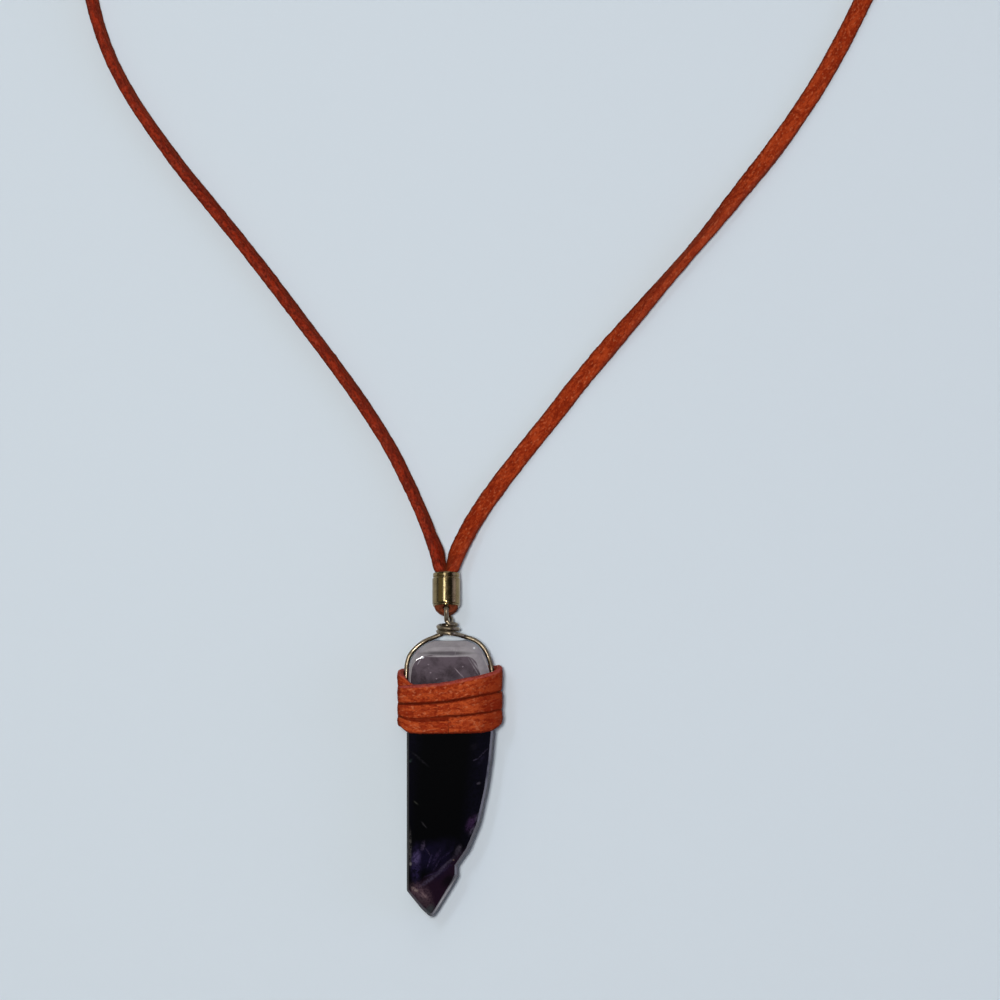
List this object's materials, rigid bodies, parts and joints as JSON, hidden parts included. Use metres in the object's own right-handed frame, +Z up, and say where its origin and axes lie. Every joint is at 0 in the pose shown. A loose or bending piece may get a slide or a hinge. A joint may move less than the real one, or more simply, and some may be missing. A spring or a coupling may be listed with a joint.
{
  "type": "crystal pendant necklace",
  "caption": "Flat crystal pendant bound with suede lace, hung by a wire eye and a ferrule from a long suede lace loop, laid flat.",
  "frame": {"origin": "on the surface that the necklace lies on, under the middle of the pendant, which is the crystal with its wrap, wire, ferrule and fold", "axes": "+Z up from the surface, out of the crystal's bevelled front face; +Y from the crystal's tip to the ferrule; +X to the right seen from the front"},
  "size_m": [0.1404, 0.251, 0.0083],
  "materials": {
    "crystal": "dark violet quartz, polished, smoky grey at its top end and paler veils low down",
    "suede": "rust red suede with a short nap",
    "wire": "antique brass wire, a little dull",
    "brass": "polished brass"
  },
  "bodies": {
    "root": {"crystal": "crystal", "wrap": "suede", "wire_bail": "wire", "ferrule": "brass", "lace_fold": "suede", "lace_left": "suede", "lace_right": "suede", "clasp": "brass"}
  },
  "joints": []
}
